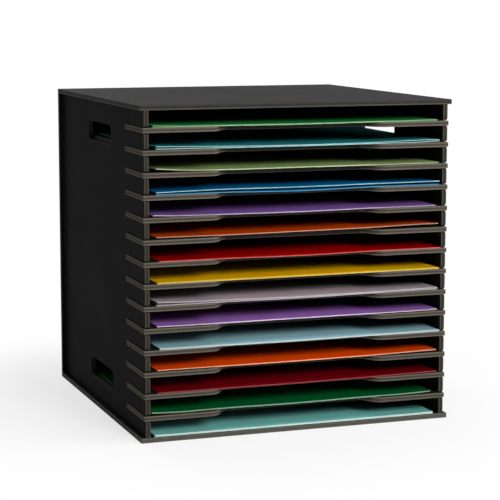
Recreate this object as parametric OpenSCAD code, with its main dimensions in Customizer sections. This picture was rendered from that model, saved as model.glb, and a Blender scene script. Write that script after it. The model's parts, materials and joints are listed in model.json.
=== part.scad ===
// Scrapbook paper organizer: a square flat-pack case of black board, open at the front, with
// fourteen slide-in shelves and a pack of coloured paper in each of its fifteen compartments.
// The origin is the middle of the underside. X is the width, the open front faces -Y and Z is up.

/* [Paper] */
// Width of a sheet
paper_w = 304.8; // [200:0.1:320]
// Depth of a sheet, front to back
paper_d = 304.8; // [240:0.1:320]
// Thickness of a sheet
sheet_t = 0.3; // [0.1:0.05:0.6]
// Room on each side of a sheet
paper_side_gap = 5.2; // [1:0.1:15]
// How far back from the front of its shelf a sheet's front edge may lie
paper_setback = 4; // [0:0.5:20]
// Room behind a sheet
paper_rear_gap = 20.2; // [4:0.1:40]

/* [Board] */
// Thickness of the board that every panel and shelf is cut from
board_t = 5; // [4:0.5:8]
// Depth of the grooves that the side panels and the shelves seat in
groove_depth = 2; // [1:0.5:3]
// Room around a tongue in its groove
groove_gap = 0.1; // [0.05:0.05:0.3]

/* [Case] */
// Clear height of a compartment
compartment_h = 17; // [12:0.1:40]
// How far the top, bottom and back panels stand out past the side panels
side_overhang = 4.5; // [2:0.5:10]
// How far a side panel's tongues stop short of its corners
tongue_stop = 12; // [5:1:30]

/* [Shelves] */
// Length of a shelf's ears, from its front edge
ear_l = 64; // [30:1:110]
// How far an ear stands out of the side panel's outer face
ear_proud = 1.2; // [0:0.1:4]
// Room above and behind an ear in its slot, and above a shelf's rear edge in its groove
slot_gap = 0.4; // [0.1:0.1:1]
// How much higher a slot is at its mouth than at its inner end
slot_lead = 0.2; // [0:0.1:2]
// Radius of the corners at a slot's mouth
slot_mouth_r = 3; // [0.5:0.1:4]
// Room between a shelf and the inner face of each side panel
shelf_side_gap = 0.5; // [0.2:0.1:2]
// Width of the finger notch at its mouth, where its flanks would meet the shelf's front edge
notch_w = 174; // [100:1:220]
// Depth of the finger notch
notch_depth = 18; // [16:0.5:40]
// Angle between a flank of the finger notch and the shelf's front edge
notch_flank = 60; // [45:1:75]
// Radius of the corners at the finger notch's mouth
notch_mouth_r = 14.5; // [4:0.5:17]
// Radius of the corners at the finger notch's inner end
notch_inner_r = 8; // [3:0.5:12]

/* [Hand holes] */
// Length of a hand hole
hand_hole_l = 91; // [60:1:120]
// Height of a hand hole
hand_hole_h = 21; // [17:0.5:30]
// Radius of a hand hole's corners
hand_hole_r = 8; // [2:0.5:10]
// From the top or the bottom of the case to the middle of a hand hole
hand_hole_edge = 38; // [25:0.5:60]

/* [Hidden] */
$fn = 64;
shelf_count = 14;
pack_count = shelf_count + 1;

// Sheets in each pack and their colours, from the top compartment down
pack_sheets = [4, 5, 3, 5, 3, 3, 3, 4, 6, 3, 5, 3, 4, 4, 6];
pack_colors = [
    "forestgreen", "teal", "olivedrab", "steelblue", "rebeccapurple",
    "darkorange", "red", "goldenrod", "thistle", "mediumpurple",
    "lightblue", "darkorange", "darkred", "darkgreen", "powderblue"
];
// Where each pack lies between the side panels, from -1 at the left to 1 at the right
pack_lean = [-0.2, 0.5, 0.6, 0.45, -0.15, 0.65, 0.9, 0.65, 0.55, 0.65, 0.9, 0.65, 0.55, -0.5, -0.1];
// How far back each pack lies, from 0 at the front of its shelf to 1 at the full setback
pack_back = [0.3, 0.5, 1, 0.3, 0.6, 1, 0, 0.1, 0.5, 1, 0, 1, 0.2, 1, 0.5];
board_color = "#303032";

// Widths, from the middle outwards
side_in = paper_w / 2 + paper_side_gap;
side_out = side_in + board_t;
case_w = 2 * (side_out + side_overhang);

// Depths: the back panel's outer face, the front of the case and the back panel's inner face
case_d = paper_setback + paper_d + paper_rear_gap + board_t;
rear_y = case_d / 2;
front_y = -rear_y;
back_y = rear_y - board_t;

// Heights: the undersides of the shelves and of the top panel lie a whole number of pitches up
pitch = compartment_h + board_t;
top_z = pack_count * pitch;
case_h = top_z + board_t;
hand_hole_z = [hand_hole_edge, case_h - hand_hole_edge];

// A tongue ends just short of the floor of its groove
tongue = groove_depth - groove_gap;

function shelf_z(k) = (pack_count - k) * pitch;
function two_digits(k) = str(k < 10 ? "0" : "", k);
function shelf_name(k) = str("shelf_", two_digits(k));
function pack_name(k) = str("paper_", two_digits(k));

// A box from one corner to the other
module block(low, high) {
    translate(low) cube(high - low);
}

// A flat rectangle from one corner to the other
module area(low, high) {
    translate(low) square(high - low);
}

// What a cut takes away to round the corner at the origin, between the X axis and the Y axis
module corner_flare(r) {
    difference() {
        square(r);
        translate([r, r]) circle(r);
    }
}

// Rectangle with round corners about the origin
module rounded_area(l, h, r) {
    area([-l / 2 + r, -h / 2], [l / 2 - r, h / 2]);
    area([-l / 2, -h / 2 + r], [l / 2, h / 2 - r]);
    for (x = [-1, 1], y = [-1, 1])
        translate([x * (l / 2 - r), y * (h / 2 - r)]) circle(r);
}

// Stopped grooves for the tongues of both side panels, from z_low to z_high
module side_grooves(z_low, z_high) {
    for (side = [0, 1])
        mirror([side, 0, 0])
            block([side_in - groove_gap, front_y + tongue_stop - groove_gap, z_low],
                  [side_out + groove_gap, back_y - tongue_stop + groove_gap, z_high]);
}

module top_panel() {
    color(board_color)
        difference() {
            block([-case_w / 2, front_y, top_z], [case_w / 2, rear_y, case_h]);
            side_grooves(top_z, top_z + groove_depth);
        }
}

module bottom_panel() {
    color(board_color)
        difference() {
            block([-case_w / 2, front_y, 0], [case_w / 2, rear_y, board_t]);
            side_grooves(board_t - groove_depth, board_t);
        }
}

// The back panel stands between the top and the bottom. Its grooves take the rear tongues of the
// side panels and the rear edges of the shelves.
module back_panel() {
    color(board_color)
        difference() {
            block([-case_w / 2, back_y, board_t], [case_w / 2, rear_y, top_z]);
            for (side = [0, 1])
                mirror([side, 0, 0])
                    block([side_in - groove_gap, back_y, board_t + tongue_stop - groove_gap],
                          [side_out + groove_gap, back_y + groove_depth, top_z - tongue_stop + groove_gap]);
            for (k = [1 : shelf_count])
                block([-side_in, back_y, shelf_z(k)],
                      [side_in, back_y + groove_depth, shelf_z(k) + board_t + slot_gap]);
        }
}

// Slot for a shelf's ear, with its mouth at the origin and its floor along the X axis. Its upper
// edge falls towards the inner end, so that the ear finds its way in.
module ear_slot() {
    inner_x = ear_l + slot_gap;
    inner_h = board_t + slot_gap;
    mouth_h = inner_h + slot_lead;
    polygon([[-slot_mouth_r, 0], [inner_x, 0], [inner_x, inner_h],
             [slot_mouth_r, mouth_h], [-slot_mouth_r, mouth_h]]);
    mirror([0, 1]) corner_flare(slot_mouth_r);
    translate([0, mouth_h]) corner_flare(slot_mouth_r);
}

// Side panel seen from the right: the outline's X runs to the back and its Y upwards
module side_outline() {
    difference() {
        union() {
            area([front_y, board_t], [back_y, top_z]);
            area([front_y + tongue_stop, board_t - tongue], [back_y - tongue_stop, top_z + tongue]);
            area([front_y, board_t + tongue_stop], [back_y + tongue, top_z - tongue_stop]);
        }
        for (k = [1 : shelf_count])
            translate([front_y, shelf_z(k)]) ear_slot();
        for (z = hand_hole_z)
            translate([0, z]) rounded_area(hand_hole_l, hand_hole_h, hand_hole_r);
    }
}

module right_side_panel() {
    color(board_color)
        translate([side_in, 0, 0])
            rotate([90, 0, 90]) linear_extrude(board_t) side_outline();
}

module left_side_panel() {
    mirror([1, 0, 0]) right_side_panel();
}

// Finger notch with its mouth along the X axis: slanted flanks, a flared mouth and round inner corners
module finger_notch() {
    mouth_x = notch_w / 2;
    inner_x = mouth_x - notch_depth / tan(notch_flank);
    along = [-cos(notch_flank), sin(notch_flank)];
    mouth_run = notch_mouth_r * tan(notch_flank / 2);
    inner_run = notch_inner_r * tan(notch_flank / 2);
    right = [[mouth_x + mouth_run, 0], [mouth_x, 0] + mouth_run * along,
             [inner_x, notch_depth] - inner_run * along, [inner_x - inner_run, notch_depth]];
    left = [for (i = [len(right) - 1 : -1 : 0]) [-right[i].x, right[i].y]];
    difference() {
        polygon(concat(right, left));
        for (side = [-1, 1])
            translate([side * (mouth_x + mouth_run), notch_mouth_r]) circle(notch_mouth_r);
    }
    for (side = [-1, 1])
        translate([side * (inner_x - inner_run), notch_depth - notch_inner_r]) circle(notch_inner_r);
}

// Shelf seen from above: two ears at the front, and a rear edge that seats in the back panel
module shelf_outline() {
    body_x = side_in - shelf_side_gap;
    ear_x = side_out + ear_proud;
    difference() {
        union() {
            area([-body_x, front_y], [body_x, back_y + tongue]);
            area([-ear_x, front_y], [ear_x, front_y + ear_l]);
        }
        translate([0, front_y]) finger_notch();
    }
}

module shelf(k) {
    color(board_color)
        translate([0, 0, shelf_z(k)]) linear_extrude(board_t) shelf_outline();
}

// Pack k lies on shelf k, and the last one on the bottom panel
module paper_pack(k) {
    middle_x = pack_lean[k - 1] * paper_side_gap;
    edge_y = front_y + pack_back[k - 1] * paper_setback;
    floor_z = shelf_z(k) + board_t;
    color(pack_colors[k - 1])
        block([middle_x - paper_w / 2, edge_y, floor_z],
              [middle_x + paper_w / 2, edge_y + paper_d, floor_z + pack_sheets[k - 1] * sheet_t]);
}

top_panel();
bottom_panel();
back_panel();
left_side_panel();
right_side_panel();
for (k = [1 : shelf_count])
    shelf(k);
for (k = [1 : pack_count])
    paper_pack(k);
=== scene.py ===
"""Looks of the scrapbook paper organizer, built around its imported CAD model.

The case and its shelves are sawn from black foamed PVC sheet, and each compartment holds a pack
of dyed card. Sizes in the classes are millimetres. Meshes are metres, in the frame of the CAD.
"""

import json
import logging
import math
import random
from dataclasses import dataclass
from enum import Enum

import bmesh
import bpy
from mathutils import Matrix, Vector


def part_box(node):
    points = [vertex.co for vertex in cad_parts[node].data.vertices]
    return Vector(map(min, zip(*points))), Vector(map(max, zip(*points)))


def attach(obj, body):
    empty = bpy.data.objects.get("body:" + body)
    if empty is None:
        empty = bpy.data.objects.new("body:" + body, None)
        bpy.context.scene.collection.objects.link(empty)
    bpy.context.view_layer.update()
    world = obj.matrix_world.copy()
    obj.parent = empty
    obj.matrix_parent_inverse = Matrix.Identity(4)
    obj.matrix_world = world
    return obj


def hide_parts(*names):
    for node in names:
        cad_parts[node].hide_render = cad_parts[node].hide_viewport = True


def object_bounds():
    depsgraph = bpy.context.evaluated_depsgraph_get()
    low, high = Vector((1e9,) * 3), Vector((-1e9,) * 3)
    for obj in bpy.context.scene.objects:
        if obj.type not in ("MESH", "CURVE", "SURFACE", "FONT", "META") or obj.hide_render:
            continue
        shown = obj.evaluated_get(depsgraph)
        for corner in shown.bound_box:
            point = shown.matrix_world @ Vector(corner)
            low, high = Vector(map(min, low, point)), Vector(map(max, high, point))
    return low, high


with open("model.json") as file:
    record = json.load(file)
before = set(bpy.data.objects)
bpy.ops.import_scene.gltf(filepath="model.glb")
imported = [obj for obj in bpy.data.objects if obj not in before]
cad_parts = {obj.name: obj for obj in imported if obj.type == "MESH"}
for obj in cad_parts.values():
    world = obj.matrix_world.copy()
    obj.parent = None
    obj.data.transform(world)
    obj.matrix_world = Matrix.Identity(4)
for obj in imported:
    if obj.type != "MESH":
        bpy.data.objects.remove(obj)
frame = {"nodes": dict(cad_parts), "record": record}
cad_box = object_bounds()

log = logging.getLogger("organizer")

MM = 0.001

Colour = tuple[float, float, float, float]
WHITE: Colour = (1.0, 1.0, 1.0, 1.0)

# Refractive indices of PVC and of the cellulose in card
PVC_IOR = 1.53
CARD_IOR = 1.47

# Values between which most of a noise pattern lies
NOISE_LOW = 0.3
NOISE_HIGH = 0.7

# Sockets of a Mix node for colours, which go by number because several share a name
MIX_SHARE = 0
MIX_FIRST = 6
MIX_SECOND = 7
MIX_RESULT = 2


def linear(colour: str) -> Colour:
    """Turn an sRGB hex colour into linear RGBA, by the curve of the sRGB standard.

    Args:
        colour: Hex colour with its number sign.

    Returns:
        Red, green and blue as linear shares, and an alpha of 1.
    """
    shares = [int(colour[i:i + 2], 16) / 255 for i in (1, 3, 5)]
    red, green, blue = [s / 12.92 if s <= 0.04045 else ((s + 0.055) / 1.055) ** 2.4 for s in shares]
    return red, green, blue, 1.0


def add_node(tree: bpy.types.NodeTree, kind: str, sockets: dict[str | int, object] | None = None,
             **settings: object) -> bpy.types.Node:
    """Add a node with its settings, its constant inputs and its links.

    Args:
        tree: Node tree that takes the node.
        kind: Type of the node.
        sockets: Inputs by name or number, each a constant or the socket that feeds it.
        settings: Properties of the node itself.

    Returns:
        The new node.
    """
    node = tree.nodes.new(kind)
    for name, value in settings.items():
        setattr(node, name, value)
    for key, value in (sockets or {}).items():
        if isinstance(value, bpy.types.NodeSocket):
            tree.links.new(value, node.inputs[key])
        else:
            node.inputs[key].default_value = value
    return node


def per_metre(size: float) -> float:
    """Give the texture scale at which a pattern's features are about this many millimetres wide."""
    return 1.0 / (size * MM)


def empty_material(name: str) -> tuple[bpy.types.Material, bpy.types.NodeTree]:
    """Make a material with an empty node tree.

    Args:
        name: Name of the material.

    Returns:
        The material and its node tree.
    """
    material = bpy.data.materials.new(name)
    material.use_nodes = True
    material.node_tree.nodes.clear()
    return material, material.node_tree


def close_material(tree: bpy.types.NodeTree, shader: bpy.types.Node) -> None:
    """Link a shader to a new output node."""
    add_node(tree, "ShaderNodeOutputMaterial", {"Surface": shader.outputs[0]})


class Across(Enum):
    """Axis that runs through a board's thickness."""

    X = 0
    Y = 1
    Z = 2


class Slot(Enum):
    """Material slots of a board. The first two are also those of a card. The third is the routed wall,
    whose dark grey is partly painted shade.
    """

    FACE = 0
    EDGE = 1
    ROUTED = 2


@dataclass(frozen=True)
class PressedSkin:
    """Matt black skin of foamed PVC sheet, pressed between fine-grained rolls.

    The eye sees a soft, even black with a faint pebble, a trace cloudier where hands have been. It
    shines only at a low angle, where it mirrors what stands close to it.
    """

    name: str = "foamed_pvc_pressed_skin"
    colour: str = "#1b1b1b"
    handled_colour: str = "#1d1d1c"
    cloud: float = 45.0
    cloud_detail: float = 4.0
    handled_from: float = 0.42
    handled_to: float = 0.68
    pebble: float = 1.6
    pebble_detail: float = 2.0
    pebble_height: float = 0.02
    pebble_strength: float = 0.6
    handled_roughness: float = 0.38
    clean_roughness: float = 0.4
    specular: float = 0.001

    def material(self) -> bpy.types.Material:
        """Make the material. The pebble is drawn at twice its real width, so that it shows.

        Returns:
            The material.
        """
        material, tree = empty_material(self.name)
        place = add_node(tree, "ShaderNodeTexCoord").outputs["Object"]
        cloud = add_node(tree, "ShaderNodeTexNoise",
                         {"Vector": place, "Scale": per_metre(self.cloud),
                          "Detail": self.cloud_detail})
        handled = add_node(tree, "ShaderNodeMapRange",
                           {"Value": cloud.outputs[0],
                            "From Min": self.handled_from, "From Max": self.handled_to})
        pebble = add_node(tree, "ShaderNodeTexNoise",
                          {"Vector": place, "Scale": per_metre(self.pebble),
                           "Detail": self.pebble_detail})
        colour = add_node(tree, "ShaderNodeMix",
                          {MIX_SHARE: handled.outputs[0], MIX_FIRST: linear(self.colour),
                           MIX_SECOND: linear(self.handled_colour)}, data_type="RGBA")
        rough = add_node(tree, "ShaderNodeMapRange",
                         {"Value": cloud.outputs[0], "From Min": NOISE_LOW, "From Max": NOISE_HIGH,
                          "To Min": self.clean_roughness, "To Max": self.handled_roughness})
        bump = add_node(tree, "ShaderNodeBump",
                        {"Height": pebble.outputs[0], "Strength": self.pebble_strength,
                         "Distance": self.pebble_height * MM})
        shader = add_node(tree, "ShaderNodeBsdfPrincipled",
                          {"Base Color": colour.outputs[MIX_RESULT], "Roughness": rough.outputs[0],
                           "Normal": bump.outputs[0], "IOR": PVC_IOR,
                           "Specular IOR Level": self.specular})
        close_material(tree, shader)
        return material


@dataclass(frozen=True)
class SawnEdge:
    """Sawn edge of the foamed sheet: two dense skins with a foamed core between them.

    The eye sees a band along each arris, a darker band of open cells between them and the fine
    marks of the saw's teeth across all three.
    """

    name: str
    low_colour: str = "#534e45"
    core_colour: str = "#37332e"
    high_colour: str = "#534e45"
    across: Across = Across.Z
    core_half: float = 1.1
    blend: float = 0.5
    tooth: float = 0.9
    tooth_detail: float = 3.0
    tooth_dark: float = 0.9
    tooth_pale: float = 1.08
    drag: float = 14.0
    cell: float = 0.5
    relief_height: float = 0.05
    relief_strength: float = 0.3
    roughness: float = 0.72
    specular: float = 0.03

    def band(self, tree: bpy.types.NodeTree, offset: bpy.types.NodeSocket,
             side: int) -> bpy.types.NodeSocket:
        """Give a factor that rises from the core to the skin on one side of the board's middle.

        Args:
            tree: Node tree of the material.
            offset: Socket that gives the distance from the board's middle.
            side: -1 for the low side and 1 for the high one.

        Returns:
            The socket of the factor.
        """
        return add_node(tree, "ShaderNodeMapRange",
                        {"Value": offset, "From Min": side * (self.core_half - self.blend),
                         "From Max": side * (self.core_half + self.blend)},
                        interpolation_type="SMOOTHSTEP").outputs[0]

    def material(self) -> bpy.types.Material:
        """Make the material. The tooth marks are drawn at twice their real pitch, so that they show.

        Returns:
            The material.
        """
        material, tree = empty_material(f"foamed_pvc_sawn_{self.name}_edge")
        place = add_node(tree, "ShaderNodeTexCoord").outputs["Object"]
        stretch = [1.0, 1.0, 1.0]
        stretch[self.across.value] = self.tooth / self.drag
        drawn = add_node(tree, "ShaderNodeMapping", {"Vector": place, "Scale": stretch})
        teeth = add_node(tree, "ShaderNodeTexNoise",
                         {"Vector": drawn.outputs[0], "Scale": per_metre(self.tooth),
                          "Detail": self.tooth_detail})
        cells = add_node(tree, "ShaderNodeTexVoronoi",
                         {"Vector": place, "Scale": per_metre(self.cell)})
        offset = add_node(tree, "ShaderNodeAttribute", attribute_name="across").outputs["Fac"]
        lower = add_node(tree, "ShaderNodeMix",
                         {MIX_SHARE: self.band(tree, offset, -1),
                          MIX_FIRST: linear(self.core_colour),
                          MIX_SECOND: linear(self.low_colour)}, data_type="RGBA")
        banded = add_node(tree, "ShaderNodeMix",
                          {MIX_SHARE: self.band(tree, offset, 1),
                           MIX_FIRST: lower.outputs[MIX_RESULT],
                           MIX_SECOND: linear(self.high_colour)}, data_type="RGBA")
        mark = add_node(tree, "ShaderNodeMapRange",
                        {"Value": teeth.outputs[0], "From Min": NOISE_LOW, "From Max": NOISE_HIGH,
                         "To Min": self.tooth_dark, "To Max": self.tooth_pale})
        colour = add_node(tree, "ShaderNodeVectorMath",
                          {0: banded.outputs[MIX_RESULT], "Scale": mark.outputs[0]},
                          operation="SCALE")
        relief = add_node(tree, "ShaderNodeMath",
                          {0: teeth.outputs[0], 1: cells.outputs["Distance"]}, operation="ADD")
        bump = add_node(tree, "ShaderNodeBump",
                        {"Height": relief.outputs[0], "Strength": self.relief_strength,
                         "Distance": self.relief_height * MM})
        shader = add_node(tree, "ShaderNodeBsdfPrincipled",
                          {"Base Color": colour.outputs[0], "Roughness": self.roughness,
                           "Normal": bump.outputs[0], "IOR": PVC_IOR,
                           "Specular IOR Level": self.specular})
        close_material(tree, shader)
        return material


@dataclass(frozen=True)
class RoutedWallWithPaintedShade:
    """Wall of a hole that a spinning cutter left, rubbed smooth by hands.

    Its grey, hardly paler than the skin, is partly painted shade: it is kept darker than the sawn
    edges because these walls lie in the hand holes, in the finger notches and behind the ears,
    where shade falls. It has no bands and no tooth marks.
    """

    name: str = "foamed_pvc_routed_wall"
    # Partly painted shade: a darker grey than the sawn edges, for walls where shade falls
    colour: str = "#2c2b2a"
    cell: float = 0.5
    relief_height: float = 0.05
    relief_strength: float = 0.2
    roughness: float = 0.6
    specular: float = 0.01

    def material(self) -> bpy.types.Material:
        """Make the material.

        Returns:
            The material.
        """
        material, tree = empty_material(self.name)
        place = add_node(tree, "ShaderNodeTexCoord").outputs["Object"]
        cells = add_node(tree, "ShaderNodeTexVoronoi",
                         {"Vector": place, "Scale": per_metre(self.cell)})
        bump = add_node(tree, "ShaderNodeBump",
                        {"Height": cells.outputs["Distance"], "Strength": self.relief_strength,
                         "Distance": self.relief_height * MM})
        shader = add_node(tree, "ShaderNodeBsdfPrincipled",
                          {"Base Color": linear(self.colour), "Roughness": self.roughness,
                           "Normal": bump.outputs[0], "IOR": PVC_IOR,
                           "Specular IOR Level": self.specular})
        close_material(tree, shader)
        return material


@dataclass(frozen=True)
class DyedCard:
    """Calendered face of card that was dyed in the pulp.

    The eye sees one flat colour, a little cloudy, with the fine tooth of uncoated fibres.
    """

    name: str
    colour: str
    fibre: float = 0.9
    fibre_detail: float = 4.0
    fibre_coarseness: float = 0.65
    fibre_height: float = 0.06
    fibre_strength: float = 0.35
    cloud: float = 26.0
    cloud_detail: float = 3.0
    pale_from: float = 0.7
    pale_to: float = 1.3
    unevenness: float = 0.07
    roughness: float = 0.85
    specular: float = 0.02

    def material(self) -> bpy.types.Material:
        """Make the material. The fibres are drawn three times as coarse as they are, so that they show.

        Returns:
            The material.
        """
        material, tree = empty_material(f"dyed_card_calendered_{self.name}")
        place = add_node(tree, "ShaderNodeTexCoord").outputs["Object"]
        fibres = add_node(tree, "ShaderNodeTexNoise",
                          {"Vector": place, "Scale": per_metre(self.fibre),
                           "Detail": self.fibre_detail, "Roughness": self.fibre_coarseness})
        cloud = add_node(tree, "ShaderNodeTexNoise",
                         {"Vector": place, "Scale": per_metre(self.cloud),
                          "Detail": self.cloud_detail})
        both = add_node(tree, "ShaderNodeMath",
                        {0: fibres.outputs[0], 1: cloud.outputs[0]}, operation="ADD")
        shade = add_node(tree, "ShaderNodeMapRange",
                         {"Value": both.outputs[0],
                          "From Min": self.pale_from, "From Max": self.pale_to,
                          "To Min": 1.0 - self.unevenness, "To Max": 1.0 + self.unevenness})
        colour = add_node(tree, "ShaderNodeVectorMath",
                          {0: linear(self.colour)[:3], "Scale": shade.outputs[0]},
                          operation="SCALE")
        bump = add_node(tree, "ShaderNodeBump",
                        {"Height": fibres.outputs[0], "Strength": self.fibre_strength,
                         "Distance": self.fibre_height * MM})
        shader = add_node(tree, "ShaderNodeBsdfPrincipled",
                          {"Base Color": colour.outputs[0], "Roughness": self.roughness,
                           "Normal": bump.outputs[0], "IOR": CARD_IOR,
                           "Specular IOR Level": self.specular})
        close_material(tree, shader)
        return material


@dataclass(frozen=True)
class CutCard:
    """Guillotined edge of the card, where the pale fibres of its core show.

    The eye sees thin pale lines, one for each sheet, with short flecks along them.
    """

    name: str
    colour: str
    fleck_length: float = 9.0
    fleck_height: float = 0.3
    fleck_detail: float = 4.0
    fleck_dark: float = 0.84
    fleck_pale: float = 1.06
    roughness: float = 0.9
    specular: float = 0.05

    def material(self) -> bpy.types.Material:
        """Make the material, with its flecks drawn out along the edge.

        Returns:
            The material.
        """
        material, tree = empty_material(f"dyed_card_guillotined_edge_{self.name}")
        place = add_node(tree, "ShaderNodeTexCoord").outputs["Object"]
        drawn = add_node(tree, "ShaderNodeMapping",
                         {"Vector": place,
                          "Scale": (1.0, 1.0, self.fleck_length / self.fleck_height)})
        flecks = add_node(tree, "ShaderNodeTexNoise",
                          {"Vector": drawn.outputs[0], "Scale": per_metre(self.fleck_length),
                           "Detail": self.fleck_detail})
        shade = add_node(tree, "ShaderNodeMapRange",
                         {"Value": flecks.outputs[0],
                          "From Min": NOISE_LOW, "From Max": NOISE_HIGH,
                          "To Min": self.fleck_dark, "To Max": self.fleck_pale})
        colour = add_node(tree, "ShaderNodeVectorMath",
                          {0: linear(self.colour)[:3], "Scale": shade.outputs[0]},
                          operation="SCALE")
        shader = add_node(tree, "ShaderNodeBsdfPrincipled",
                          {"Base Color": colour.outputs[0], "Roughness": self.roughness,
                           "IOR": CARD_IOR, "Specular IOR Level": self.specular})
        close_material(tree, shader)
        return material


def piece_from(shape: bmesh.types.BMesh, name: str, sharp_angle: float) -> bpy.types.Object:
    """Turn a bmesh into an object at the origin, smooth but for the edges past an angle.

    Args:
        shape: Finished bmesh, which is freed.
        name: Name of the piece.
        sharp_angle: Angle between faces, in degrees, past which an edge stays sharp.

    Returns:
        The object, linked to the scene.
    """
    for face in shape.faces:
        face.smooth = True
    for edge in shape.edges:
        edge.smooth = True
    mesh = bpy.data.meshes.new(name)
    shape.to_mesh(mesh)
    shape.free()
    for spare in ("custom_normal", "sharp_face"):
        if spare in mesh.attributes:
            mesh.attributes.remove(mesh.attributes[spare])
    mesh.set_sharp_from_angle(angle=math.radians(sharp_angle))
    piece = bpy.data.objects.new(name, mesh)
    bpy.context.scene.collection.objects.link(piece)
    return piece


def body_of_node(node: str) -> str:
    """Give the name of the body that a CAD node belongs to."""
    bodies = frame["record"]["behaviour"]["bodies"]
    return next(body for body, members in bodies.items() if node in members)


def settle(piece: bpy.types.Object, node: str) -> None:
    """Let a piece stand for a CAD node, on that node's body.

    Args:
        piece: Finished piece.
        node: Name of the CAD node.
    """
    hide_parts(node)
    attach(piece, body_of_node(node))
    log.info("%s stands for %s", piece.name, node)


@dataclass
class SawnBoard:
    """A board with its arrises eased, made from the outline of a CAD node."""

    node: str
    across: Across
    arris: float = 0.35
    arris_steps: int = 2
    merge: float = 0.001
    flat_angle: float = 0.2
    corner_angle: float = 60.0
    sharp_angle: float = 15.0
    face_share: float = 0.98
    routed_shade_inset: float = 80.0
    outline_reach: float = 2.0
    notch_reach: float = 9.0

    def build(self) -> bpy.types.Object:
        """Ease the arrises of a copy of the node's mesh, and mark its sawn edges.

        Returns:
            The board, still without its finishes.
        """
        shape = bmesh.new()
        shape.from_mesh(frame["nodes"][self.node].data)
        bmesh.ops.remove_doubles(shape, verts=shape.verts, dist=self.merge * MM)
        bmesh.ops.dissolve_limit(shape, angle_limit=math.radians(self.flat_angle),
                                 verts=shape.verts, edges=shape.edges)
        corner = math.radians(self.corner_angle)
        arrises = [edge for edge in shape.edges if edge.calc_face_angle_signed(0.0) > corner]
        bmesh.ops.bevel(shape, geom=arrises, offset=self.arris * MM, offset_type="OFFSET",
                        segments=self.arris_steps, profile=0.5, affect="EDGES",
                        clamp_overlap=True, material=-1)
        self.mark(shape)
        return piece_from(shape, f"{self.node}_board", self.sharp_angle)

    def mark(self, shape: bmesh.types.BMesh) -> None:
        """Give each point its distance from the board's middle, and each face its slot.

        Args:
            shape: Bmesh of the board.
        """
        axis = self.across.value
        low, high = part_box(self.node)
        middle = (low[axis] + high[axis]) / 2
        offset = shape.verts.layers.float.new("across")
        for point in shape.verts:
            point[offset] = (point.co[axis] - middle) / MM
        shape.normal_update()
        for face in shape.faces:
            face.material_index = self.slot_of(face, low, high).value

    def slot_of(self, face: bmesh.types.BMFace, low: Vector, high: Vector) -> Slot:
        """Tell a face of the sheet, a sawn edge at the outline and a routed wall inside it, which takes
        the darker finish of painted shade.

        Args:
            face: Face of the board.
            low: Lowest corner of the board.
            high: Highest corner of the board.

        Returns:
            The slot: the routed one, with its painted shade, in the hand holes, in the finger notches
                and behind the ears.
        """
        if abs(face.normal[self.across.value]) > self.face_share:
            return Slot.FACE
        middle = face.calc_center_median()
        behind = middle.y - low.y
        inside = cad_box[1].x - abs(middle.x) > self.outline_reach * MM
        deep = min(behind, high.y - middle.y) > self.routed_shade_inset * MM
        in_notch = face.normal.y < -self.face_share and behind > self.notch_reach * MM
        # Painted shade: faces deep inside the outline and the walls at the back of the finger notches
        # get the darker routed finish, where shade falls
        return Slot.ROUTED if inside and (deep or in_notch) else Slot.EDGE

    def dress(self, piece: bpy.types.Object, finishes: dict[Slot, bpy.types.Material]) -> None:
        """Give a built board its finishes and its place in the frame.

        Args:
            piece: The built board.
            finishes: Material of each slot.
        """
        for slot in Slot:
            piece.data.materials.append(finishes[slot])
        settle(piece, self.node)


@dataclass
class Case:
    """The five glued panels of the case, by their edges.

    The top panel's edge is rubbed dark, down to its lower skin.
    """

    edges: tuple[SawnEdge, ...] = (
        SawnEdge("top_panel", low_colour="#403e39", core_colour="#262524", high_colour="#2f2e2c"),
        SawnEdge("bottom_panel", low_colour="#4f4c47", core_colour="#43413c", high_colour="#494f4a"),
        SawnEdge("back_panel", across=Across.Y),
        SawnEdge("left_side_panel", low_colour="#3a372f", core_colour="#25221e",
                 high_colour="#3a372f", across=Across.X),
        SawnEdge("right_side_panel", low_colour="#3a372f", core_colour="#25221e",
                 high_colour="#3a372f", across=Across.X),
    )

    def build(self, skin: bpy.types.Material, routed_painted_shade: bpy.types.Material) -> None:
        """Build and dress every panel.

        Args:
            skin: Material of the sheet's faces.
            routed_painted_shade: Material of the walls of the hand holes, whose darker grey is partly
                painted shade.
        """
        for edge in self.edges:
            board = SawnBoard(edge.name, edge.across)
            panel = board.build()
            board.dress(panel, {Slot.FACE: skin, Slot.EDGE: edge.material(), Slot.ROUTED: routed_painted_shade})


@dataclass
class Shelves:
    """The slide-in shelves, from the top down."""

    count: int = 14
    edge: SawnEdge = SawnEdge("shelf")

    def build(self, skin: bpy.types.Material, routed_painted_shade: bpy.types.Material) -> None:
        """Build and dress every shelf.

        Args:
            skin: Material of the sheet's faces.
            routed_painted_shade: Material of the walls of the finger notches and behind the ears, whose
                darker grey is partly painted shade.
        """
        finishes = {Slot.FACE: skin, Slot.EDGE: self.edge.material(), Slot.ROUTED: routed_painted_shade}
        for number in range(1, self.count + 1):
            board = SawnBoard(f"shelf_{number:02d}", self.edge.across)
            board.dress(board.build(), finishes)


# Places along a front edge, as shares of its half width: its corners, the flanks of the finger notch
# under it, a place outside each of them and the middle
EDGE_PLACES = (-1.0, -0.8, -0.53, 0.0, 0.53, 0.8, 1.0)


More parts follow.
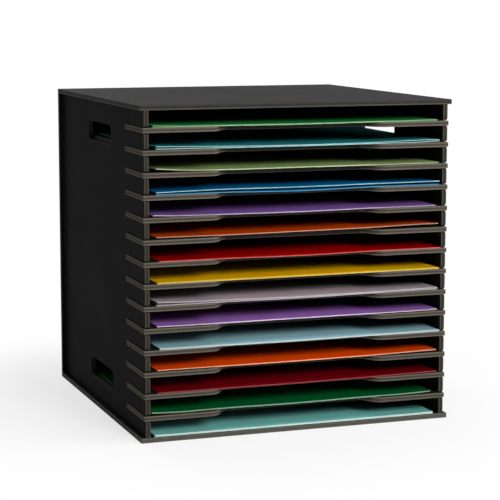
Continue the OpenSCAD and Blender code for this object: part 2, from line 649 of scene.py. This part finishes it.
@dataclass(frozen=True)
class EdgeLine:
    """How high a front edge lies along its width, from the left corner to the right one."""

    heights: tuple[float, ...]
    places: tuple[float, ...] = EDGE_PLACES

    def slope(self, i: int) -> float:
        """Give the line's slope at a place, from its neighbours."""
        low, high = max(i - 1, 0), min(i + 1, len(self.places) - 1)
        return (self.heights[high] - self.heights[low]) / (self.places[high] - self.places[low])

    def at(self, x: float) -> float:
        """Give the height of a point of the edge, on a smooth curve through the places.

        Args:
            x: Distance from the middle as a share of the half width.

        Returns:
            The height, in millimetres.
        """
        x = min(max(x, self.places[0]), self.places[-1])
        i = max(j for j in range(len(self.places) - 1) if self.places[j] <= x)
        run = self.places[i + 1] - self.places[i]
        t = (x - self.places[i]) / run
        rise = 3 * t * t - 2 * t * t * t
        start, end = t - 2 * t * t + t * t * t, t * t * t - t * t
        return (self.heights[i] * (1 - rise) + self.heights[i + 1] * rise
                + run * (self.slope(i) * start + self.slope(i + 1) * end))


FLAT = EdgeLine((0.0,) * len(EDGE_PLACES))

# Slots that a card takes in its pack, one for its face and one for its edge
CARD_SLOTS = 2


@dataclass(frozen=True)
class CardColour:
    """Name of a card, with the colours of its face and of its cut edge."""

    name: str
    face: str
    edge: str


@dataclass(frozen=True)
class PaperPack:
    """A pack of card: its lower sheets lie on the shelf, and its upper ones stand off them in front."""

    number: int
    card: CardColour
    lie: EdgeLine = FLAT
    rise: EdgeLine = FLAT
    lower_sheets: int = 2
    lower_card: CardColour | None = None
    sheet: float = 0.3
    air: float = 0.02
    curl_depth: float = 105.0
    least_rise: float = 0.8
    notch_share: float = 0.5
    notch_depth: float = 16.0
    stray: float = 0.35
    columns: int = 40
    rows: int = 26
    row_crowding: float = 1.7
    face_share: float = 0.7
    sharp_angle: float = 40.0

    @property
    def node(self) -> str:
        """Name of the CAD node that the pack stands for."""
        return f"paper_{self.number:02d}"

    def lift(self, index: int, count: int, across: float, back: float) -> float:
        """Give how far a point of a sheet lies off the flat, in millimetres.

        Args:
            index: Number of the sheet, from 0 at the bottom.
            count: Sheets in the pack.
            across: Distance from the sheet's middle as a share of its half width.
            back: Distance from the front edge, in millimetres.

        Returns:
            The height, which is below zero only over the shelf's notch.
        """
        height = self.lie.at(across)
        if index >= self.lower_sheets:
            spread = (index - self.lower_sheets + 1) / max(count - self.lower_sheets, 1)
            share = self.least_rise + (1.0 - self.least_rise) * spread
            height += max(self.rise.at(across), 0.0) * share
        depth = self.curl_depth
        if height < 0.0:
            depth = self.notch_depth if abs(across) < self.notch_share else 0.0
        return height * (1.0 - back / depth) ** 2 if back < depth else 0.0

    def build(self) -> bpy.types.Object:
        """Lay the sheets of the pack on each other, each a little out of line.

        Returns:
            The pack, still without its colours.
        """
        low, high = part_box(self.node)
        count = round((high.z - low.z) / (self.sheet * MM))
        half_w, depth = (high.x - low.x) / 2, high.y - low.y
        middle_x = (low.x + high.x) / 2
        draw = random.Random(self.number)
        pack = bmesh.new()
        for index in range(count):
            front = Vector((middle_x + draw.uniform(-self.stray, self.stray) * MM,
                            low.y + draw.uniform(0.0, self.stray) * MM,
                            low.z + (index * self.sheet + self.air) * MM))
            self.add_sheet(pack, index, count, half_w, depth, front)
        for face in pack.faces:
            flat = abs(face.normal.z) > self.face_share
            face.material_index += (Slot.FACE if flat else Slot.EDGE).value
        return piece_from(pack, f"{self.node}_pack", self.sharp_angle)

    def add_sheet(self, pack: bmesh.types.BMesh, index: int, count: int,
                  half_w: float, depth: float, front: Vector) -> None:
        """Add one curled sheet to a pack.

        Args:
            pack: Bmesh of the pack.
            index: Number of the sheet, from 0 at the bottom.
            count: Sheets in the pack.
            half_w: Half of the sheet's width, in metres.
            depth: Depth of the sheet, in metres.
            front: Middle of the sheet's front edge, at its underside.
        """
        made = bmesh.ops.create_grid(pack, x_segments=self.columns, y_segments=self.rows, size=1.0)
        for point in made["verts"]:
            across = point.co.x
            back = ((point.co.y + 1) / 2) ** self.row_crowding * depth
            lift = self.lift(index, count, across, back / MM) * MM
            point.co = front + Vector((across * half_w, back, lift))
        faces = list(dict.fromkeys(face for point in made["verts"] for face in point.link_faces))
        for face in faces:
            face.material_index = CARD_SLOTS if self.lower_card and index < self.lower_sheets else 0
        bmesh.ops.recalc_face_normals(pack, faces=faces)
        if faces[0].normal.z > 0:
            bmesh.ops.reverse_faces(pack, faces=faces)
        bmesh.ops.solidify(pack, geom=faces, thickness=(self.sheet - self.air) * MM)

    def dress(self, piece: bpy.types.Object) -> None:
        """Give a built pack the colours of its card and its place in the frame.

        Args:
            piece: The built pack.
        """
        for card in filter(None, (self.card, self.lower_card)):
            piece.data.materials.append(DyedCard(card.name, card.face).material())
            piece.data.materials.append(CutCard(card.name, card.edge).material())
        settle(piece, self.node)


PACKS = (
    PaperPack(1, CardColour("green", "#1b7137", "#7ca076"),
              EdgeLine((0.0, 0.0, 0.0, -0.4, 0.0, 0.0, 0.0)),
              EdgeLine((0.9, 0.1, 0.0, 0.0, 0.1, 0.1, 0.6))),
    PaperPack(2, CardColour("teal", "#20777d", "#91b3b2"),
              EdgeLine((0.5, 0.4, 0.1, -0.1, 0.0, 0.0, 1.0)),
              EdgeLine((1.8, 1.2, 0.7, 0.1, 0.4, 1.4, 0.6)), lower_sheets=3),
    PaperPack(3, CardColour("olive", "#7e975b", "#a8b28d"),
              EdgeLine((3.0, 0.9, 0.2, 0.2, 0.1, 0.1, 0.1)),
              EdgeLine((0.0, 0.0, 0.0, 0.0, 0.0, 0.0, 0.5))),
    # The lower three sheets of this pack are drawn with a darker edge than the upper ones, in the same
    # face colour
    PaperPack(4, CardColour("blue", "#005e8e", "#9bc5cf"),
              EdgeLine((0.0, 0.0, 0.0, -1.2, 0.0, 0.0, 0.0)),
              EdgeLine((1.3, 1.9, 2.4, 3.2, 2.5, 2.6, 2.7)), lower_sheets=3,
              lower_card=CardColour("deep_blue", "#005e8e", "#3f7c9c")),
    PaperPack(5, CardColour("violet", "#755094", "#a294a7"),
              EdgeLine((1.4, 0.4, 0.0, -0.6, 0.0, 0.0, 0.1))),
    PaperPack(6, CardColour("orange", "#b63c00", "#a8806e"),
              EdgeLine((1.4, 1.3, 1.0, 1.4, 1.9, 2.8, 2.9))),
    PaperPack(7, CardColour("red", "#8b0000", "#a95956"),
              EdgeLine((0.0, 0.0, 0.0, -0.8, 0.0, 0.0, 0.0))),
    PaperPack(8, CardColour("amber", "#daa500", "#b1a15d"),
              EdgeLine((0.0, 0.0, 0.0, 0.0, 0.1, 0.1, 0.2))),
    PaperPack(9, CardColour("grey_lilac", "#9f9399", "#a39ea4"),
              EdgeLine((0.0, 0.0, 0.0, -0.5, 0.0, 0.2, 0.4)),
              EdgeLine((2.4, 1.4, 0.9, 0.3, 0.2, 0.3, 0.5)), lower_sheets=3),
    PaperPack(10, CardColour("purple", "#9060ac", "#c7bac4"),
              EdgeLine((0.5, 0.3, 0.3, 0.3, 0.2, 0.2, 0.3)),
              EdgeLine((0.1, 0.0, 0.0, 0.0, 0.0, 0.0, 0.5))),
    PaperPack(11, CardColour("pale_blue", "#84aeb5", "#a4aeb0"),
              EdgeLine((0.0, 0.0, 0.0, -0.3, 0.0, 0.0, 0.0)),
              EdgeLine((0.4, 0.1, 0.0, 0.0, 0.0, 0.1, 0.3))),
    PaperPack(12, CardColour("dark_orange", "#dc4300", "#dfa487"),
              EdgeLine((0.4, 0.4, 0.2, 0.1, 0.4, 1.0, 1.4)),
              EdgeLine((0.0, 0.0, 0.0, 0.0, 0.0, 0.2, 0.4))),
    PaperPack(13, CardColour("dark_red", "#60000a", "#82383b"),
              EdgeLine((0.0, 0.0, 0.0, -0.2, 0.2, 0.7, 0.9))),
    PaperPack(14, CardColour("dark_green", "#005226", "#7b9a83"),
              EdgeLine((1.6, 0.5, 0.8, 0.1, 0.6, 0.5, 1.2))),
    PaperPack(15, CardColour("pale_teal", "#69ada6", "#c4d0cb"),
              rise=EdgeLine((0.3, 0.0, 0.0, 0.0, 0.0, 0.1, 0.3))),
)


def facing(target: Vector, azimuth: float, elevation: float, distance: float,
           roll: float = 0.0) -> Matrix:
    """Give the place of a camera or a lamp that looks at a point.

    Args:
        target: Point that it looks at, in metres.
        azimuth: Its angle to the right of the front, in degrees.
        elevation: Its angle above the level, in degrees.
        distance: Its distance from the point, in millimetres.
        roll: Its turn about its line of sight, in degrees.

    Returns:
        The matrix of the camera or the lamp.
    """
    return (Matrix.Translation(target)
            @ Matrix.Rotation(math.radians(azimuth), 4, "Z")
            @ Matrix.Rotation(math.pi / 2 - math.radians(elevation), 4, "X")
            @ Matrix.Rotation(math.radians(roll), 4, "Z")
            @ Matrix.Translation((0.0, 0.0, distance * MM)))


@dataclass(frozen=True)
class Camera:
    """The photograph's viewpoint: where it looks, from which side, how far off and how long a lens."""

    name: str = "photo_camera"
    target: tuple[float, float, float] = (-53.2, -167.0, 188.8)
    azimuth: float = -19.69
    elevation: float = 8.17
    roll: float = 0.07
    distance: float = 1748.3
    focal_px: float = 1751.9
    image_px: int = 500
    sensor: float = 36.0

    def build(self) -> None:
        """Make the camera and hand it to the scene."""
        data = bpy.data.cameras.new(self.name)
        data.sensor_width = self.sensor
        data.lens = self.focal_px / self.image_px * self.sensor
        camera = bpy.data.objects.new(self.name, data)
        camera.matrix_world = facing(Vector(self.target) * MM, self.azimuth, self.elevation,
                                     self.distance, self.roll)
        bpy.context.scene.collection.objects.link(camera)
        bpy.context.scene.camera = camera


@dataclass(frozen=True)
class SoftLamp:
    """A square lamp that faces the middle of the object.

    Its level is how bright it alone makes a white, matt surface there that faces it.
    """

    name: str
    azimuth: float
    elevation: float
    distance: float
    size: float
    level: float

    def hang(self) -> None:
        """Hang the lamp, with the power that gives its level."""
        data = bpy.data.lights.new(self.name, "AREA")
        data.shape = "SQUARE"
        data.size = self.size * MM
        data.energy = self.level * (math.pi * self.distance * MM) ** 2
        lamp = bpy.data.objects.new(self.name, data)
        middle = (cad_box[0] + cad_box[1]) / 2
        lamp.matrix_world = facing(middle, self.azimuth, self.elevation, self.distance)
        bpy.context.scene.collection.objects.link(lamp)


@dataclass(frozen=True)
class Studio:
    """White studio: lamps in front, low on the right, overhead and behind, and a white floor."""

    lamps: tuple[SoftLamp, ...] = (
        SoftLamp("front_lamp", azimuth=9.0, elevation=24.3, distance=2100.0, size=600.0, level=0.92),
        SoftLamp("right_lamp", azimuth=62.0, elevation=6.0, distance=2100.0, size=800.0, level=0.45),
        SoftLamp("overhead_lamp", azimuth=40.0, elevation=66.0, distance=1350.0, size=650.0, level=0.55),
        SoftLamp("rear_lamp", azimuth=188.0, elevation=36.0, distance=2100.0, size=1000.0, level=0.65),
    )
    room_level: float = 0.09
    floor_size: float = 6000.0
    floor_drop: float = 0.2
    floor_white: float = 0.8
    shadow_share: float = 0.22
    floor_glow: float = 0.69
    fade_from: float = 200.0
    fade_to: float = 480.0
    sharp_angle: float = 30.0

    def build(self) -> None:
        """Make the lamps, the floor and the room."""
        bpy.context.scene.view_settings.view_transform = "Standard"
        for lamp in self.lamps:
            lamp.hang()
        self.lay_floor()
        self.light_room()

    def seen(self, tree: bpy.types.NodeTree) -> bpy.types.NodeSocket:
        """Give a factor that is 1 for rays that look at the background, and 0 for those that light.

        Args:
            tree: Node tree that takes the factor.

        Returns:
            The socket of the factor.
        """
        rays = add_node(tree, "ShaderNodeLightPath")
        mirrored = add_node(tree, "ShaderNodeMath",
                            {0: rays.outputs["Is Glossy Ray"], 1: rays.outputs["Is Transmission Ray"]},
                            operation="MAXIMUM")
        return add_node(tree, "ShaderNodeMath",
                        {0: rays.outputs["Is Camera Ray"], 1: mirrored.outputs[0]},
                        operation="MAXIMUM").outputs[0]

    def lay_floor(self) -> None:
        """Lay the floor, just below the object's underside."""
        shape = bmesh.new()
        bmesh.ops.create_grid(shape, x_segments=1, y_segments=1, size=self.floor_size * MM / 2)
        bmesh.ops.translate(shape, verts=shape.verts, vec=(0.0, 0.0, -self.floor_drop * MM))
        floor = piece_from(shape, "studio_floor", self.sharp_angle)
        floor.data.materials.append(self.floor_paint())

    def floor_paint(self) -> bpy.types.Material:
        """Make the floor's matt white, which keeps the object's shadow and fades to white round it.

        Returns:
            The material.
        """
        material, tree = empty_material("matt_white_floor")
        seen = self.seen(tree)
        place = add_node(tree, "ShaderNodeTexCoord").outputs["Object"]
        away = add_node(tree, "ShaderNodeVectorMath", {0: place}, operation="LENGTH")
        fade = add_node(tree, "ShaderNodeMapRange",
                        {"Value": away.outputs["Value"], "From Min": self.fade_from * MM,
                         "From Max": self.fade_to * MM}, interpolation_type="SMOOTHSTEP")
        white = add_node(tree, "ShaderNodeMath", {0: seen, 1: fade.outputs[0]}, operation="MULTIPLY")
        glow = add_node(tree, "ShaderNodeMath", {0: seen, 1: self.floor_glow}, operation="MULTIPLY")
        grey = add_node(tree, "ShaderNodeMapRange",
                        {"Value": seen, "To Min": self.floor_white, "To Max": self.shadow_share})
        matt = add_node(tree, "ShaderNodeBsdfDiffuse", {"Color": grey.outputs[0]})
        lifted = add_node(tree, "ShaderNodeEmission", {"Strength": glow.outputs[0]})
        near = add_node(tree, "ShaderNodeAddShader", {0: matt.outputs[0], 1: lifted.outputs[0]})
        far = add_node(tree, "ShaderNodeEmission", {"Color": WHITE, "Strength": 1.0})
        close_material(tree, add_node(tree, "ShaderNodeMixShader",
                                      {0: white.outputs[0], 1: near.outputs[0], 2: far.outputs[0]}))
        return material

    def light_room(self) -> None:
        """Fill the room with even light, and show it as white."""
        world = bpy.data.worlds.new("white_room")
        world.use_nodes = True
        tree = world.node_tree
        tree.nodes.clear()
        level = add_node(tree, "ShaderNodeMapRange",
                         {"Value": self.seen(tree), "To Min": self.room_level, "To Max": 1.0})
        room = add_node(tree, "ShaderNodeBackground", {"Color": WHITE, "Strength": level.outputs[0]})
        add_node(tree, "ShaderNodeOutputWorld", {"Surface": room.outputs[0]})
        bpy.context.scene.world = world


def main() -> None:
    """Build the case, the shelves, the packs of card and the studio."""
    logging.basicConfig(level=logging.INFO, format="%(message)s")
    Camera().build()
    skin = PressedSkin().material()
    # The routed walls' darker grey is partly painted shade
    routed_painted_shade = RoutedWallWithPaintedShade().material()
    Case().build(skin, routed_painted_shade)
    Shelves().build(skin, routed_painted_shade)
    for pack in PACKS:
        pack.dress(pack.build())
    Studio().build()


if __name__ == "__main__":
    main()
